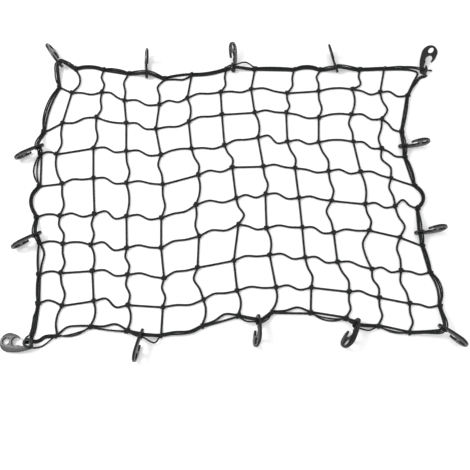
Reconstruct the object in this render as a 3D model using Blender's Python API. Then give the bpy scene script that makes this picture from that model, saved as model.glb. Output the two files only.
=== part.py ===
"""Elastic cargo net laid out flat, with its two border cords and fourteen hooks.

Metres and +Z up. The net lies on z = 0 with its long side along X, and the origin is at the middle
of its outer box. Places are given in millimetres and are turned into metres as they are built.
"""

import math
from collections import namedtuple

import bmesh
import bpy
import numpy
from mathutils import Matrix, Vector

MM = 0.001

# ---- driving sizes, in millimetres ---------------------------------------------------------------

CORD = 4.8            # across a cord
CORD_SIDE = 4.4       # side of the square that stands for a cord of the netting
KNOT_REACH = 6.4      # from a knot's middle to the cords that leave it
KNOT_TOP = 9.4        # height of a knot
KNOT_CROWN = 2.8      # from a knot's middle to the corners of its top
LANE = 5.6            # from the net's edge out to the border cords, which lie one on the other
STACK = 5.5           # from the lower one's middle up to the upper one's
SLIT_LANE = 5.4       # the same, inside a hook's slit
SLIT_FIRST = 1.0      # from the middle of the slit's blind end to the innermost cord
LIFT = 0.15           # how far a bowed cord leaves the surface, for each millimetre of bow
BOW_UNIT = 2.5        # one step of the charts of border bows
INNER_SHARE = 0.4     # share of a bow that the inner border cord takes
PASS_NEAR = 4.0       # a cord runs straight through a hook from this far before its middle
PASS_FAR = 7.5
NET_CLEAR = 5.6       # from the middle of the net's edge to the middle of the inner border cord
BORDER_CLEAR = 5.4    # from there to the middle of the outer one
STEPS_STRAIGHT = 2
STEPS_BOWED = 3
STEPS_CURLED = 5
CURL = 12             # a bend of this much takes the curled steps
LONG_SIDE = 50        # a border cord can bow between a knot and a hook that lie this far apart
HELD_RINGS = (1.35, 1.7, 2, 5, 5.3, 5.65)      # where rings stand along a stretch held by a slit
HITCH_CENTRE = (13.0, 26.0)   # middle of the cord wound on the front left hook, along and across it
HITCH_RING = 10.0     # its middle radius
HITCH_TUBE = 4.5      # radius of that winding

CENTRE = (3.63, -8.15)   # middle of the outer box, before it is moved to the origin

# ---- the knots: twelve meshes by nine --------------------------------------------------------------

COLUMNS, ROWS = 12, 9
ROW_STATIONS = (0, 2, 4, 6, 8, 10, 12)
ROW_Y = (  # how far back each cord across lies: left edge, columns 2, 4, 6, 8 and 10, right edge
    (438, 448, 405, 441, 440, 440, 449),
    (374, 359, 314, 357, 358, 370, 343),
    (208, 263, 220, 273, 280, 273, 209),
    (130, 152, 130, 166, 174, 174, 117),
    (17, 45, 30, 83, 80, 67, 19),
    (-82, -73, -90, -24, -23, -44, -58),
    (-174, -179, -189, -112, -117, -132, -182),
    (-274, -263, -282, -229, -220, -255, -268),
    (-364, -357, -376, -325, -315, -346, -370),
    (-499, -432, -458, -399, -390, -430, -470),
)
COLUMN_STATIONS = (0, 2, 4, 6, 8, 9)
COLUMN_X = (  # how far right each cord down lies: back edge, rows 2, 4, 6 and 8, front edge
    (-523, -583, -580, -563, -551, -545),
    (-490, -530, -515, -497, -491, -492),
    (-408, -424, -420, -414, -394, -398),
    (-330, -328, -318, -306, -294, -292),
    (-212, -234, -211, -204, -193, -195),
    (-125, -131, -98, -92, -76, -79),
    (-14, -26, 7, 26, 22, 25),
    (80, 78, 103, 113, 135, 121),
    (207, 178, 201, 219, 238, 234),
    (292, 283, 304, 314, 348, 335),
    (420, 385, 403, 418, 434, 427),
    (500, 486, 495, 508, 524, 513),
    (607, 537, 563, 570, 605, 615),
)
NUDGES = {  # how far right and back a knot lies from where its two cords' tables meet
    (0, 1): (-12, -3), (0, 2): (-3, -8), (1, 0): (10, 0), (1, 1): (5, -14), (1, 2): (5, -2),
    (1, 3): (-9, -8), (1, 4): (0, -4), (1, 5): (-7, 2), (1, 6): (-8, 0), (1, 7): (-10, 9),
    (1, 8): (-7, -5), (1, 9): (-2, -5), (1, 10): (-6, -2), (1, 11): (-10, -2), (2, 5): (0, 3),
    (2, 9): (-2, -19), (2, 11): (-5, 12), (3, 1): (-14, -15), (3, 2): (-3, -2), (3, 4): (9, -3),
    (3, 5): (-5, 3), (3, 6): (-6, -5), (3, 7): (-2, 17), (3, 8): (-7, 0), (3, 9): (-15, -6),
    (3, 10): (-5, 0), (3, 11): (-16, 0), (3, 12): (-5, 2), (4, 1): (1, -8), (4, 3): (0, -8),
    (4, 4): (5, -7), (4, 9): (0, -7), (5, 0): (-8, -5), (5, 1): (-8, -8), (5, 2): (9, -4),
    (5, 5): (-9, 12), (5, 7): (0, 8), (6, 7): (-3, -16), (6, 8): (-2, -5), (6, 9): (-3, -18),
    (7, 1): (-4, -3), (7, 4): (6, -4), (7, 5): (-11, 5), (7, 6): (-13, -1), (7, 7): (-7, 7),
    (7, 8): (-7, 0), (7, 9): (-14, 2), (7, 10): (-9, -2), (7, 11): (-14, 1), (8, 1): (6, -13),
    (8, 11): (-3, -6),
}

# ---- the bends between knots -----------------------------------------------------------------------

BENDS = {  # offset to the left of travel, a third and two thirds of the way to the next knot
    "-": (0, 0), "n": (7, 7), "N": (12, 9), "u": (-6, -6), ")": (8, 8), "}": (18, 20),
    "(": (-8, -8), "{": (-22, -16), "h": (9, 2), "H": (24, 6), "g": (-1, -8), "G": (-3, -13),
    "s": (7, -7), "S": (12, -11), "z": (-6, 4), "w": (-5, 6), "W": (-10, 9), "d": (2, 10),
    "D": (5, 19), "a": (-10, -1), "A": (-17, -5), "b": (-2, -10), "o": (-5, -11), "p": (-13, -2),
    "O": (-9, -14),
}
FREE = "opO"   # bends inwards that the border cords don't follow
ACROSS = (  # one letter a mesh, left to right, for the cords at rows 1 to 8
    "-ghsshgh-nGs", "-zusgh-hgnsg", "n-ssnghSsnsg", "-hsh-s-hgsh-",
    "nsSsgsssh-sH", "nnShhsghsh--", "n-shh-hsshsg", "N-S-ghhs-h-g",
)
DOWN = (  # one letter a mesh, back to front, for the cords at columns 1 to 11
    "}-d(dwdd(", "wdd--w)-)", "a--d)-ww)", "A--ad--w-", "-)-d)g-A)", "d--d-D--)",
    "--)-d-)-)", "dd-d---d-", "ad-ddA-dd", "D)a-)d{wd", "-DbWaDaad",
)
EDGE_BENDS = {  # one letter a stretch of the net's edge, clockwise
    "back": "n--ou--nn-", "right": "---}(-)", "front": "---pnphnpO", "left": "-o)}-))",
}
EDGE_BOWS = {  # steps that the outer border cord bows out by, in the same order
    "back": "0201061100", "right": "1020013", "front": "3350101614", "left": "11007032",
}

# ---- the hooks --------------------------------------------------------------------------------------

HOOK_THICK = 7.0
HEAD = {"along": 13.2, "across": 21.0, "radius": 13.2}
SLIT = {"along": 13.4, "across": 21.5, "radius": 3.1}
GRIP = (22.5, 21.5)   # the point of the slit that a hook is placed by
MOUTH = {"along": 52.1, "across": 30.1, "radius": 12.6}
END = {"along": 72.5, "across": 27.5, "radius": 27.5}
EYE = {"along": 82.5, "across": 30.3, "radius": 10.0}
Hook = namedtuple("Hook", "x y heading roll pitch holds")
HOOKS = {  # place of the grip, directions in degrees, and the edge stretch that the slit holds
    "hook_back_1": Hook(-270, 427, 92, 102, 11, ("back", 2)),
    "hook_back_2": Hook(10, 451, 88, 67, 16, ("back", 5)),
    "hook_back_3": Hook(341, 446, 104, 78, 5, ("back", 8)),
    "hook_right_1": Hook(545, 153, 6, 97, 9, ("right", 1)),
    "hook_right_2": Hook(571, -143, 8, 94, 6, ("right", 4)),
    "hook_front_3": Hook(359, -435, 247, -127, 8, ("front", 1)),
    "hook_front_2": Hook(81, -425, 270, -111, 13, ("front", 4)),
    "hook_front_1": Hook(-250, -470, 256, -87, 8, ("front", 7)),
    "hook_left_2": Hook(-578, -157, 214, -102, 10, ("left", 2)),
    "hook_left_1": Hook(-596, 141, 212, -105, 8, ("left", 5)),
    "hook_corner_back_left": Hook(-555, 461, 124, -116, 9, ("left", 7)),
    "hook_corner_front_right": Hook(610, -450, 320, -86, 8, ("right", 7)),
    "hook_corner_back_right": Hook(629, 444, 75, 149, 17, ("back", 10)),
    "hook_corner_front_left": Hook(-576, -494, 175, 175, -10, ("front", 10)),
}
# At the back right and front left corners the net's edge turns inside the hook. Its way there, in
# millimetres right of the grip and back of it.
INNER_CORNERS = {
    "hook_corner_back_right": ((-41, -3), (-22, -13), (-37, -47)),
    "hook_corner_front_left": ((50, 31), (30, 18), (14, 20), (20, 46)),
}
# The border cords' ways there, in the hook's own along, across and through. With None for through
# the cord lies on the surface. For each lane inwards to outwards, as far as the cord runs.
BACK_RIGHT_IN = (
    (0, -34, None), (0, -19, -6.9), (0, -6, -6.7), (0, -1.3, -5.8), (0, 0, -2.5), (0, 0, 2.5),
    (0, 1.3, 5.8),
)
BACK_RIGHT_OUT = ((3, 10, None), (-13, 8, None), (-21, -4, None), (-34, -14, None))
BACK_RIGHT_START = ((-14, 17, None), (-25, 9, None), (-37, -6, None))
BACK_RIGHT_STUB = ((5, 10, None), (11, 31, None))
FRONT_LEFT_UNDER = ((-35, 4, None), (-13, -2, None), (2, 0, None), (9, 0, 3.5), (9, 0, -2.5))
FRONT_LEFT_OVER = ((9, 1.3, -5.8), (9, 6, -6.7), (8, 18, -6.5), (1, 42, None))

CORD_COLOUR = (0.022, 0.026, 0.025)
HOOK_COLOUR = (0.030, 0.031, 0.031)

# ---- smooth ways --------------------------------------------------------------------------------------


def left_of(direction):
    return Vector((-direction.y, direction.x, 0)).normalized()


def level_between(start, end):
    return Vector((end.x - start.x, end.y - start.y, 0)).normalized()


def table_value(stations, values, at):
    """Reads one row of a table, on a smooth curve through its stations."""
    here = max(i for i in range(len(stations) - 1) if stations[i] <= at)
    slopes = []
    for i in (here, here + 1):
        low, high = max(i - 1, 0), min(i + 1, len(stations) - 1)
        slopes.append((values[high] - values[low]) / (stations[high] - stations[low]))
    width = stations[here + 1] - stations[here]
    t = (at - stations[here]) / width
    value = values[here] * (1 + 2 * t) * (1 - t) ** 2 + values[here + 1] * t * t * (3 - 2 * t)
    return value + width * (slopes[0] * t * (1 - t) ** 2 - slopes[1] * t * t * (1 - t))


def smooth_point(points, at):
    """The point at `at` on the smooth curve that passes through points[i] at i."""
    i = min(int(at), len(points) - 2)
    p = [points[max(i - 1, 0)], points[i], points[i + 1], points[min(i + 2, len(points) - 1)]]
    if i == 0:
        p[0] = 2 * p[1] - p[2]
    if i + 2 >= len(points):
        p[3] = 2 * p[2] - p[1]
    gap = [math.sqrt((b - a).length) for a, b in zip(p, p[1:])]
    first = (p[1] - p[0]) / gap[0] - (p[2] - p[0]) / (gap[0] + gap[1]) + (p[2] - p[1]) / gap[1]
    last = (p[2] - p[1]) / gap[1] - (p[3] - p[1]) / (gap[1] + gap[2]) + (p[3] - p[2]) / gap[2]
    t = at - i
    value = p[1] * (1 + 2 * t) * (1 - t) ** 2 + p[2] * t * t * (3 - 2 * t)
    return value + gap[1] * (first * t * (1 - t) ** 2 - last * t * t * (1 - t))


def thinned(points, tolerance=0.6):
    """Keeps the fewest points between which a way strays no further than the tolerance."""
    kept = [0]
    last = len(points) - 1
    while kept[-1] < last:
        far = kept[-1] + 1
        while far < last and strays(points, kept[-1], far + 1) <= tolerance:
            far += 1
        kept.append(far)
    return [points[i] for i in kept]


def strays(points, start, end):
    """How far a way lies from the straight line between two of its points."""
    line = (points[end] - points[start]).normalized()
    offsets = (point - points[start] for point in points[start + 1:end])
    return max((offset - line * offset.dot(line)).length for offset in offsets)


def fine_way(points, closed):
    """A smooth way through the points, as a point for about every 1.6 mm."""
    span = len(points) - (0 if closed else 1)
    if closed:
        points = points[-1:] + points + points[:2]
    first = 1 if closed else 0
    fine = []
    for i in range(first, first + span):
        count = max(2, round((points[i + 1] - points[i]).length / 1.6))
        fine += [smooth_point(points, i + j / count) for j in range(count)]
    return fine + ([fine[0].copy()] if closed else [points[-1].copy()])


def kept_clear(points, others, distance, floor):
    """Moves the points of a way off a neighbour's way, and up to lie on the surface."""
    wall = numpy.array(fine_straight(others))
    moved = numpy.array(points)
    for _ in range(5):
        pushed = numpy.zeros(len(moved))
        for i, point in enumerate(moved):
            away = point - wall
            gaps = numpy.sqrt((away ** 2).sum(axis=1))
            near = int(gaps.argmin())
            if gaps[near] < distance:
                moved[i] = wall[near] + away[near] * (distance / gaps[near])
                pushed[i] = 1
        eased = numpy.convolve(pushed, numpy.ones(5), "same")[1:-1, None] > 0
        even = (moved[:-2] + 2 * moved[1:-1] + moved[2:]) / 4
        moved[1:-1] = numpy.where(eased, even, moved[1:-1])
        moved[:, 2] = numpy.maximum(moved[:, 2], floor)
    return [Vector(point) for point in moved]


def fine_straight(points):
    """Points for about every millimetre of the straight lines between these."""
    fine = []
    for start, end in zip(points, points[1:]):
        count = max(1, round((end - start).length))
        fine += [start.lerp(end, j / count) for j in range(count)]
    return fine


# ---- hooks --------------------------------------------------------------------------------------------


def arc(circle, start, end, count):
    """Points on a hook's circle, by degrees from its length towards its open side."""
    turns = [math.radians(start + (end - start) * i / (count - 1)) for i in range(count)]
    return [
        (
            circle["along"] + circle["radius"] * math.cos(turn),
            circle["across"] + circle["radius"] * math.sin(turn),
        )
        for turn in turns
    ]


def hook_outline():
    """The outline of a hook, with its head at 0 along and its spine at 0 across."""
    curl = [(31.8, 25.4), (31.2, 27.4), (27.3, 30.6), (20.8, 33.4)]
    spine = [(15.0, 7.8), (26.4, 4.4), (43.6, 0.8), (58.0, 0.0)]
    point = [(52.6, 50.2), (46.2, 46.2), (41.2, 41.4)]
    throat = [(37.0, 18.4), (33.0, SLIT["across"] - SLIT["radius"])]
    outer = curl + arc(HEAD, 95, 230, 7) + spine + arc(END, -95, 112, 11) + point
    return outer + arc(MOUTH, 128, -128, 9) + throat + arc(SLIT, 270, 90, 5)


def hook_frame(name):
    """Stands a hook on the surface with its grip at its place, in millimetres."""
    hook = HOOKS[name]
    heading, roll, pitch = (math.radians(a) for a in (hook.heading, hook.roll, hook.pitch))
    level = Vector((math.cos(heading), math.sin(heading), 0))
    side = left_of(level)
    along = level * math.cos(pitch) + Vector((0, 0, math.sin(pitch)))
    across = side * math.cos(roll) + along.cross(side) * math.sin(roll)
    turn = Matrix((along, across, along.cross(across))).transposed()
    grip = turn @ Vector((*GRIP, 0))
    faces = (-HOOK_THICK / 2, HOOK_THICK / 2)
    lowest = min((turn @ Vector((s, t, n))).z for s, t in hook_outline() for n in faces)
    place = Vector((hook.x - grip.x, hook.y - grip.y, -lowest))
    return Matrix.Translation(place) @ turn.to_4x4()


def in_slit(name, lane, steps, height):
    """Points near the place of a lane in a hook's slit, from steps along, across and through."""
    frame = hook_frame(name)
    points = []
    for along, across, through in steps:
        from_head = SLIT["along"] + SLIT_FIRST + lane * SLIT_LANE + along
        point = frame @ Vector((from_head, SLIT["across"] + across, through or 0))
        if through is None:
            point.z = height
        points.append(point)
    return points


def slit_pass(name, lane, travel):
    """The points where a cord runs straight through a hook's slit, in the way of travel."""
    reach = (-PASS_FAR, -PASS_NEAR, PASS_NEAR, PASS_FAR)
    points = in_slit(name, lane, [(0, 0, through) for through in reach], 0)
    return points if (points[-1] - points[0]).dot(travel) > 0 else points[::-1]


# ---- the ways of the netting and of its border ------------------------------------------------------------

Stretch = namedtuple("Stretch", "start end points hook bow letter")


def knot_place(knot):
    """The middle of a knot, at the surface."""
    row, column = knot
    x = table_value(COLUMN_STATIONS, COLUMN_X[column], row)
    y = table_value(ROW_STATIONS, ROW_Y[row], column)
    right, back = NUDGES.get(knot, (0, 0))
    return Vector((x + right, y + back, 0))


def bend_points(start, end, letter):
    """The two points between a pair of knots that give a cord its bend."""
    early, late = BENDS[letter]
    side = left_of(end - start)
    lift = Vector((0, 0, LIFT * (abs(early) + abs(late)) / 2))
    first = start.lerp(end, 1 / 3) + side * early + lift
    return [first, start.lerp(end, 2 / 3) + side * late + lift]


def ring_places(stretch):
    """Where rings of corners stand along a stretch, by the points of its way."""
    if stretch.hook in INNER_CORNERS:
        return [1.5 + step / 2 for step in range(2 * len(stretch.points) + 1)]
    if stretch.hook:
        return HELD_RINGS
    steps = STEPS_STRAIGHT
    if stretch.letter != "-":
        steps = STEPS_CURLED if max(map(abs, BENDS[stretch.letter])) >= CURL else STEPS_BOWED
    return [1 + 3 * step / steps for step in range(1, steps)]


def cord_feet(stretch):
    """The underside of a stretch between its knots' rims: points with their directions."""
    start, end = knot_place(stretch.start), knot_place(stretch.end)
    leave = level_between(start, stretch.points[0])
    arrive = level_between(end, stretch.points[-1])
    way = [start, start + leave * KNOT_REACH] + stretch.points + [end + arrive * KNOT_REACH, end]
    feet = [(way[1], leave)]
    for at in ring_places(stretch):
        direction = smooth_point(way, at + 0.01) - smooth_point(way, at - 0.01)
        feet.append((smooth_point(way, at), direction))
    return feet + [(way[-2], -arrive)]


def edge_knots():
    """Rows and columns of the knots on the net's edge, side by side and clockwise."""
    return {
        "back": [(0, column) for column in range(1, COLUMNS)],
        "right": [(row, COLUMNS) for row in range(1, ROWS)],
        "front": [(ROWS, column) for column in range(COLUMNS - 1, 0, -1)],
        "left": [(row, 0) for row in range(ROWS - 1, 0, -1)],
    }


def edge_stretches():
    """Each stretch of the net's edge from knot to knot, clockwise from the first back knot."""
    holders = {hook.holds: name for name, hook in HOOKS.items()}
    sides = edge_knots()
    names = list(sides)
    stretches = []
    for number, side in enumerate(names):
        knots = sides[side] + sides[names[(number + 1) % 4]][:1]
        for i, (start, end) in enumerate(zip(knots, knots[1:])):
            a, b = knot_place(start), knot_place(end)
            hook = holders.get((side, i))
            letter = (EDGE_BENDS[side] + "-")[i]
            if hook in INNER_CORNERS:
                grip = HOOKS[hook]
                points = [Vector((grip.x + x, grip.y + y, 0)) for x, y in INNER_CORNERS[hook]]
            elif hook:
                foot = Vector((0, 0, CORD_SIDE / 2))
                points = [point - foot for point in slit_pass(hook, 0, b - a)]
            else:
                points = bend_points(a, b, letter)
            bow = int((EDGE_BOWS[side] + "00")[i])
            stretches.append(Stretch(start, end, points, hook, bow, letter))
    return stretches


def net_stretches():
    """Every stretch of cord in the netting, from knot to knot."""
    pairs = []
    for row, letters in enumerate(ACROSS, start=1):
        for column, letter in enumerate(letters):
            pairs.append(((row, column), (row, column + 1), letter))
    for column, letters in enumerate(DOWN, start=1):
        for row, letter in enumerate(letters):
            pairs.append(((row, column), (row + 1, column), letter))
    inner = [
        Stretch(start, end, bend_points(knot_place(start), knot_place(end), letter), None, 0, letter)
        for start, end, letter in pairs
    ]
    return inner + edge_stretches()


def border_lane(stretches, lane):
    """The way of a border cord round the net, from the knot after the back right corner."""
    floor = CORD / 2 + 0.2
    up = Vector((0, 0, floor + STACK * (lane - 1)))
    places = [knot_place(stretch.start) for stretch in stretches]
    first = next(i for i, stretch in enumerate(stretches) if stretch.start == (1, COLUMNS))
    route = []
    for step in range(len(stretches)):
        i = (first + step) % len(stretches)
        before, here, after = places[i - 1], places[i], places[(i + 1) % len(places)]
        out = (left_of(here - before) + left_of(after - here)).normalized()
        route.append(here + out * LANE + up)
        stretch = stretches[i]
        if stretch.hook == "hook_corner_back_right":
            route += in_slit(stretch.hook, lane - 1, BACK_RIGHT_IN, floor)
        elif stretch.hook == "hook_corner_front_left" and lane == 2:
            route += in_slit(stretch.hook, 0, FRONT_LEFT_UNDER + FRONT_LEFT_OVER, floor)
        elif stretch.hook and stretch.hook not in INNER_CORNERS:
            route += held_by_hook(stretch, lane, here + up, after + up)
        else:
            route += beside(stretch, lane, here, after)
    return route


def held_by_hook(stretch, lane, here, after):
    """A border cord's points through a hook, with a bow on its longer sides."""
    held = slit_pass(stretch.hook, lane, after - here)
    sides = []
    for knot, end in ((here, held[0]), (held[-1], after)):
        bulge = stretch.bow * BOW_UNIT if lane == 2 and (end - knot).length > LONG_SIDE else 0
        middle = knot.lerp(end, 0.5) + left_of(end - knot) * (LANE + bulge)
        middle.z = here.z + 0.25 * (held[0].z - here.z)
        sides.append([middle] if bulge else [])
    return sides[0] + held + sides[1]


def beside(stretch, lane, here, after):
    """A border cord's points along a stretch of the net's edge, bowed out in the middle."""
    if stretch.letter in FREE:
        stretch = stretch._replace(points=bend_points(here, after, "-"))
    feet = cord_feet(stretch)
    bow = stretch.bow * BOW_UNIT
    route = []
    for j, (foot, direction) in enumerate(feet):
        inner = bow * INNER_SHARE * math.sin(math.pi * j / (len(feet) - 1))
        outer = bow * math.sin(math.pi * j / (len(feet) - 1))
        bulge = inner if lane == 1 else outer
        rise = math.sqrt(max(STACK ** 2 - (outer - inner) ** 2, 0)) if lane == 2 else 0
        height = CORD / 2 + 0.2 + rise + LIFT * inner
        route.append(foot + left_of(direction) * (LANE + bulge) + Vector((0, 0, height)))
    return route


# ---- solids ---------------------------------------------------------------------------------------------


def placed(point):
    """A point in metres, in the part's own frame."""
    return (point - Vector((*CENTRE, 0))) * MM


def material(name, colour, roughness):
    made = bpy.data.materials.new(name)
    made.use_nodes = True
    shader = made.node_tree.nodes["Principled BSDF"]
    shader.inputs["Base Color"].default_value = (*colour, 1)
    shader.inputs["Roughness"].default_value = roughness
    shader.inputs["Metallic"].default_value = 0.0
    made.diffuse_color = (*colour, 1)
    return made


def add_object(name, data, surface, collection):
    made = bpy.data.objects.new(name, data)
    if not data.materials:
        data.materials.append(surface)
    collection.objects.link(made)
    return made


def section(foot, direction):
    """The four corners of a cord's square section, which stands upright on its foot."""
    side = left_of(direction) * (CORD_SIDE / 2)
    top = Vector((0, 0, CORD_SIDE))
    return [foot - side, foot + side, foot + side + top, foot - side + top]


def add_rim(mesh, foot, direction):
    return [mesh.verts.new(corner) for corner in section(foot, direction)]


def join_rims(mesh, first, second):
    for i in range(4):
        j = (i + 1) % 4
        mesh.faces.new((first[i], first[j], second[j], second[i]))


def close_knot(mesh, place, rims):
    """A knot: the hull of its raised top and of the rims where its cords leave it."""
    lean = sum((level for _, level in rims), Vector()) * (KNOT_CROWN / 2)
    corners = [corner for rim, _ in rims for corner in rim]
    for i in range(4):
        turn = math.radians(45 + 90 * i)
        spread = Vector((math.cos(turn), math.sin(turn), 0)) * KNOT_CROWN
        corners.append(mesh.verts.new(place + lean + spread + Vector((0, 0, KNOT_TOP))))
    hull = bmesh.ops.convex_hull(mesh, input=corners)
    inside = [item for item in hull["geom_interior"] if isinstance(item, bmesh.types.BMVert)]
    if inside:
        raise ValueError(f"two cords leave the knot at {tuple(place)} too close together")
    for rim, _ in rims:
        owned = set(rim)
        open_faces = {face for corner in rim for face in corner.link_faces if set(face.verts) <= owned}
        bmesh.ops.delete(mesh, geom=list(open_faces), context="FACES_ONLY")
        for pair in ((rim[0], rim[2]), (rim[1], rim[3])):
            diagonal = mesh.edges.get(pair)
            if diagonal and not diagonal.link_faces:
                mesh.edges.remove(diagonal)


def loft_cord(mesh, stretch, rims):
    """A cord of the netting from one knot's rim to the next one's."""
    before = rims[0]
    for foot, direction in cord_feet(stretch)[1:-1]:
        rim = add_rim(mesh, foot, direction)
        join_rims(mesh, before, rim)
        before = rim
    far = rims[1]
    join_rims(mesh, before, [far[1], far[0], far[3], far[2]])


def add_net(surface, collection):
    """The netting as one closed body: knots as hulls, and lofts from knot to knot."""
    mesh = bmesh.new()
    stretches = net_stretches()
    leaving = {}
    rims = []
    for stretch in stretches:
        pair = []
        for knot, toward in ((stretch.start, stretch.points[0]), (stretch.end, stretch.points[-1])):
            place = knot_place(knot)
            level = level_between(place, toward)
            rim = add_rim(mesh, place + level * KNOT_REACH, level)
            leaving.setdefault(knot, []).append((rim, level))
            pair.append(rim)
        rims.append(pair)
    for knot, knot_rims in leaving.items():
        close_knot(mesh, knot_place(knot), knot_rims)
    for stretch, pair in zip(stretches, rims):
        loft_cord(mesh, stretch, pair)
    for corner in mesh.verts:
        corner.co = placed(corner.co)
    bmesh.ops.triangulate(mesh, faces=mesh.faces)
    bmesh.ops.recalc_face_normals(mesh, faces=mesh.faces)
    data = bpy.data.meshes.new("net_mesh")
    mesh.to_mesh(data)
    mesh.free()
    add_object("net_mesh", data, surface, collection)


def add_tube(name, points, radius, closed, surface, collection):
    """A round cord along a way."""
    curve = bpy.data.curves.new(name, "CURVE")
    curve.dimensions = "3D"
    curve.bevel_depth = radius * MM
    curve.bevel_resolution = 1
    curve.use_fill_caps = True
    spline = curve.splines.new("POLY")
    spline.points.add(len(points) - 1)
    for knot, point in zip(spline.points, points):
        knot.co = (*placed(point), 1)
    spline.use_cyclic_u = closed
    add_object(name, curve, surface, collection)


def add_borders(surface, collection):
    """The inner border cord, which is closed, and the outer one, which ends at a corner."""
    stretches = edge_stretches()
    floor = CORD / 2 + 0.2
    corner = "hook_corner_back_right"
    edge = [foot for stretch in stretches for foot, _ in cord_feet(stretch)]
    edge = [foot + Vector((0, 0, CORD_SIDE / 2)) for foot in edge + edge[:1]]
    inner = border_lane(stretches, 1) + in_slit(corner, 0, BACK_RIGHT_OUT, floor)
    inner = thinned(kept_clear(fine_way(inner, True), edge, NET_CLEAR, floor))
    add_tube("border_cord_1", inner[:-1], CORD / 2, True, surface, collection)
    start = in_slit(corner, 1, BACK_RIGHT_START, floor)
    outer = start + border_lane(stretches, 2) + in_slit(corner, 1, BACK_RIGHT_STUB, floor)
    outer = kept_clear(fine_way(outer, False), edge, NET_CLEAR, floor)
    outer = thinned(kept_clear(outer, inner, BORDER_CLEAR, floor))
    add_tube("border_cord_2", outer, CORD / 2, False, surface, collection)


def add_hitch(surface, collection):
    """The cord wound on the head of the front left hook, as one thick open ring."""
    frame = hook_frame("hook_corner_front_left")
    through = -HOOK_THICK / 2 - HITCH_TUBE - 0.4
    points = []
    for i in range(13):
        turn = math.radians(80 + 210 * i / 12)
        along = HITCH_CENTRE[0] + HITCH_RING * math.cos(turn)
        across = HITCH_CENTRE[1] + HITCH_RING * math.sin(turn)
        points.append(frame @ Vector((along, across, through)))
    add_tube("corner_hitch", points, HITCH_TUBE, False, surface, collection)


def add_hooks(surface, collection):
    """Fourteen like hooks: a flat outline with a round eye, as thick as the plastic."""
    curve = bpy.data.curves.new("hook_outline", "CURVE")
    curve.dimensions = "2D"
    curve.fill_mode = "BOTH"
    curve.extrude = HOOK_THICK / 2 * MM
    for outline in (hook_outline(), arc(EYE, 0, 324, 10)):
        spline = curve.splines.new("POLY")
        spline.points.add(len(outline) - 1)
        for point, (along, across) in zip(spline.points, outline):
            point.co = (along * MM, across * MM, 0, 1)
        spline.use_cyclic_u = True
    for name in HOOKS:
        frame = hook_frame(name)
        hook = add_object(name, curve, surface, collection)
        hook.rotation_mode = "QUATERNION"
        hook.location = placed(frame.translation)
        hook.rotation_quaternion = frame.to_quaternion()


def main():
    for old in list(bpy.data.objects):
        bpy.data.objects.remove(old)
    collection = bpy.data.collections.new("cargo_net")
    bpy.context.scene.collection.children.link(collection)
    cord = material("elastic_cord", CORD_COLOUR, 0.78)
    plastic = material("hook_plastic", HOOK_COLOUR, 0.38)
    add_net(cord, collection)
    add_borders(cord, collection)
    add_hitch(cord, collection)
    add_hooks(plastic, collection)


if __name__ == "__main__":
    main()
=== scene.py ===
"""Looks of the elastic cargo net: braided cords, their knots and wraps, and moulded hooks.

Ways are worked out in millimetres, as a net maker measures, and are turned into metres when a curve
or mesh is made. The net lies on z = 0, with +X along its long side and +Y to its back edge.
"""

import math
from collections import namedtuple

import bmesh
import bpy
import numpy
from bpy.props import FloatProperty, FloatVectorProperty, IntProperty, PointerProperty
from mathutils import Matrix, Vector


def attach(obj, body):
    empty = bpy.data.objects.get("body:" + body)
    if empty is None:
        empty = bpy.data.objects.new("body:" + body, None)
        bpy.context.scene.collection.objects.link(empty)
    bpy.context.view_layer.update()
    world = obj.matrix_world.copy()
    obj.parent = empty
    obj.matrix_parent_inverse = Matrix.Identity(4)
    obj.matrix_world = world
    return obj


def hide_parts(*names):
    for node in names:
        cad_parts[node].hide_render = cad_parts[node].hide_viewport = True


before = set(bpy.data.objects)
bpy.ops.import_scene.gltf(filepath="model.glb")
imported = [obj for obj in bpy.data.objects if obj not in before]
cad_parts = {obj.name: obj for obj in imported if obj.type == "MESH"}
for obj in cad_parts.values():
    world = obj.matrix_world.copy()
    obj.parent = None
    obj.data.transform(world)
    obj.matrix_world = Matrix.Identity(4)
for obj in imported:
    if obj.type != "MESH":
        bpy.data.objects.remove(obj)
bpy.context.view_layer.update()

bl_info = {
    "name": "Elastic Cargo Net",
    "version": (1, 0, 0),
    "blender": (4, 5, 0),
    "location": "View3D > Sidebar > Cargo Net",
    "description": "Dresses a knotted elastic cargo net with its cords, knots and hooks",
    "category": "Object",
}

BODY = "root"
MM = 0.001

# ---- sizes shared with the solids, in millimetres ----

CORD = 4.8            # across a cord
FOOT = 2.2            # from a cord's underside to its middle, in the netting's solid
KNOT_REACH = 6.4      # from a knot's middle to where a cord leaves it
LANE = 5.6            # from the net's edge out to the border cords, which lie one on the other
STACK = 5.5           # from the lower border cord's middle up to the upper one's
SLIT_LANE = 5.4       # from one cord's middle to the next one's inside a hook's slit
SLIT_FIRST = 1.0      # from the middle of the slit's blind end to the innermost cord
LIFT = 0.15           # how far a bowed cord leaves the surface, for each millimetre of bow
BOW_UNIT = 2.5        # one step of the chart of border bows
INNER_SHARE = 0.4     # share of a bow that the inner border cord takes
PASS_NEAR = 4.0       # a cord runs straight through a slit, this far each side of its middle
PASS_FAR = 7.5        # and this far
NET_CLEAR = 5.6       # least from the middle of the net's edge to that of a border cord
BORDER_CLEAR = 5.4    # least between the middles of the two border cords
CLEAR_ROUNDS = 5      # how often a way is moved off its neighbour and evened out
CLEAR_SPAN = 5        # points that are evened out round one that was moved
FINE_STEP = 1.6       # between the points of a fine way
LONG_SIDE = 50        # least from a knot to a hook for a border cord to bow between them
SIDE_RISE = 0.25      # share of the way up to the slit at which that bow lies
FLOOR = CORD / 2 + 0.2    # height of a border cord's middle where it lies on the surface
CENTRE = (3.63, -8.15)    # middle of the net's outer box, which is moved to the origin
TARGET = (15.6, -144.9)   # what the camera looks at, before that move

# ---- the knots: twelve meshes by nine ----

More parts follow.
